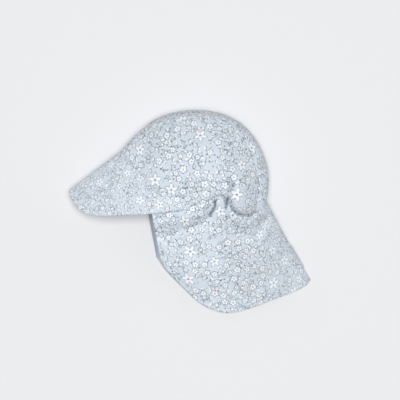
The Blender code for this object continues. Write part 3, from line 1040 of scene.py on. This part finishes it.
def new_material(name):
    """A material with its node tree and its shader."""
    material = bpy.data.materials.new(name)
    material.use_nodes = True
    return material, material.node_tree, material.node_tree.nodes["Principled BSDF"]


def washed_and_bumped(tree, shader, wear_and_shading, feeds, bump):
    """Feeds the shader with a colour that is worn and carries painted shading, its roughness and its
    bump.
    """
    washed = use_group(tree, wear_and_shading, feeds)
    feed(tree, shader.inputs["Base Color"], washed.outputs["Color"])
    feed(tree, shader.inputs["Roughness"], washed.outputs["Roughness"])
    feed(tree, shader.inputs["Normal"], out(add_node(tree, "Bump", bump)))
    shader.inputs["Specular IOR Level"].default_value = 0.2


def cotton(name, groups, ground, printed):
    """Matt woven cotton, with the flower print or plain."""
    material, tree, shader = new_material(name)
    cut = out(add_node(tree, "UVMap", uv_map="cut"))
    # The mesh's greying: wear, and painted light and shade
    sewn = out(add_node(tree, "Attribute", attribute_name="wear_and_painted_shading"), "Fac")
    weave = use_group(tree, groups["weave"], {"Cloth": cut, "Thread": WEAVE_PITCH})
    if printed:
        colours = {"Ground": (*ground, 1), "Petal": (*PETAL, 1), "Ink": (*INK, 1)}
        colour = use_group(tree, groups["print"], {"Cloth": cut, **colours}).outputs["Color"]
    else:
        colour = (*ground, 1)
    feeds = {"Color": colour, "Cloth": cut, "WearAndPaintedShading": sewn, "Shade": weave.outputs["Shade"]}
    bump = {"Strength": 0.35, "Distance": 0.00008, "Height": weave.outputs["Height"]}
    washed_and_bumped(tree, shader, groups["wear_and_shading"], feeds, bump)
    shader.inputs["Sheen Weight"].default_value = 0.03
    shader.inputs["Sheen Roughness"].default_value = 0.5
    return material


def sewing_thread(name, groups):
    """Pale twisted cotton thread."""
    material, tree, shader = new_material(name)
    place = out(add_node(tree, "TexCoord"), "Object")
    feeds = {"Cloth": place, "Color": (*THREAD_COLOUR, 1), "WearAndPaintedShading": 0.0, "Shade": 0.0}
    twist = out(add_node(tree, "TexWave", {"Vector": place, "Scale": 900.0}), "Fac")
    bump = {"Strength": 0.4, "Distance": 0.00005, "Height": twist}
    washed_and_bumped(tree, shader, groups["wear_and_shading"], feeds, bump)
    return material


# Studio
def floor_and_light():
    """A wide floor of pale paper, one large soft lamp above, and an even pale sky."""
    scene = bpy.context.scene
    bpy.ops.mesh.primitive_circle_add(
        vertices=96, radius=FLOOR_RADIUS, fill_type="NGON", location=(0, 0, FLOOR_LEVEL)
    )
    floor = bpy.context.object
    floor.name = "floor"
    paper, _, shader = new_material("pale paper")
    shader.inputs["Base Color"].default_value = (*FLOOR_COLOUR, 1)
    shader.inputs["Roughness"].default_value = 1.0
    shader.inputs["Specular IOR Level"].default_value = 0.0
    floor.data.materials.append(paper)

    lamp = bpy.data.lights.new("large soft lamp", "SUN")
    lamp.energy = KEY_SHARE * math.pi
    lamp.angle = math.radians(KEY_ANGLE)
    key = bpy.data.objects.new("large_soft_lamp", lamp)
    key.rotation_euler = tuple(math.radians(a) for a in KEY_TILT)
    scene.collection.objects.link(key)

    world = bpy.data.worlds.new("pale studio")
    world.use_nodes = True
    scene.world = world
    tree = world.node_tree
    lit = tree.nodes["Background"]
    lit.inputs["Color"].default_value = (1, 1, 1, 1)
    lit.inputs["Strength"].default_value = SKY_SHARE
    seen = add_node(tree, "Background", {"Color": (*FLOOR_COLOUR, 1), "Strength": BACKDROP})
    path = add_node(tree, "LightPath")
    mix = add_node(tree, "MixShader", {0: path.outputs["Is Camera Ray"]})
    tree.links.new(lit.outputs[0], mix.inputs[1])
    tree.links.new(seen.outputs[0], mix.inputs[2])
    tree.links.new(mix.outputs[0], tree.nodes["World Output"].inputs["Surface"])
    scene.view_settings.view_transform = "Standard"


def camera():
    """Straight down on the cap, from far enough away that its height hardly shows."""
    view = bpy.data.cameras.new("camera")
    view.sensor_width = SENSOR
    eye = bpy.data.objects.new("camera", view)
    bpy.context.scene.collection.objects.link(eye)
    eye.location = CAMERA_AT
    view.lens = SENSOR * (CAMERA_AT[2] - SCALE_LEVEL) / (IMAGE_PIXELS * PIXEL)
    bpy.context.scene.camera = eye


def flat_area(cut):
    """Area of a flat cut, from its grid."""
    a, b = cut[1:, 1:] - cut[:-1, :-1], cut[1:, :-1] - cut[:-1, 1:]
    return float(np.abs(a[..., 0] * b[..., 1] - a[..., 1] * b[..., 0]).sum() / 2)


def main():
    flowers, leaves = flower_group(), leaf_group()
    groups = {"print": print_group(flowers, leaves), "weave": weave_group(), "wear_and_shading": wear_and_shading_group()}
    outside = cotton("printed_cotton", groups, GROUND, True)
    # The lining is plain cotton whose colour is darkened as painted shade
    lining = cotton("plain_cotton_with_painted_shade", groups, LINING_WITH_PAINTED_SHADE, False)
    thread = sewing_thread("sewing_thread", groups)

    # Each sheet with its place on the printed cloth, how it is held, and what it rests on
    cloths = {
        "side_panel_left": (panel_cloth(True), (0.30, 0.10), "stretched", ["centre_band", "neck_flap"]),
        "side_panel_right": (panel_cloth(False), (0.80, 0.35), "laid", ["centre_band"]),
        "centre_band": (band_cloth(), (0.55, 0.80), "stretched", ["side_panel_left"]),
        "peak": (peak_cloth(), (1.20, 0.40), "folded", ["centre_band"]),
        "neck_flap": (flap_cloth(), (1.70, 0.90), "gathered", ["side_panel_left"]),
    }
    for name, (cloth, place, _, _) in cloths.items():
        piece = mesh_piece(name + "_cloth", cloth, [outside, lining], place)
        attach(piece, "root")
        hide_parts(name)
    for name, (cloth, _, held, rests_on) in cloths.items():
        sewn = []
        if name in ("peak", "neck_flap"):
            sewn = [hem_stitches(name + "_stitching", cloth, thread)]
            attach(sewn[0], "root")
        [other + "_cloth" for other in rests_on]
        flat_area(cloth.cut)
    floor_and_light()
    camera()


main()
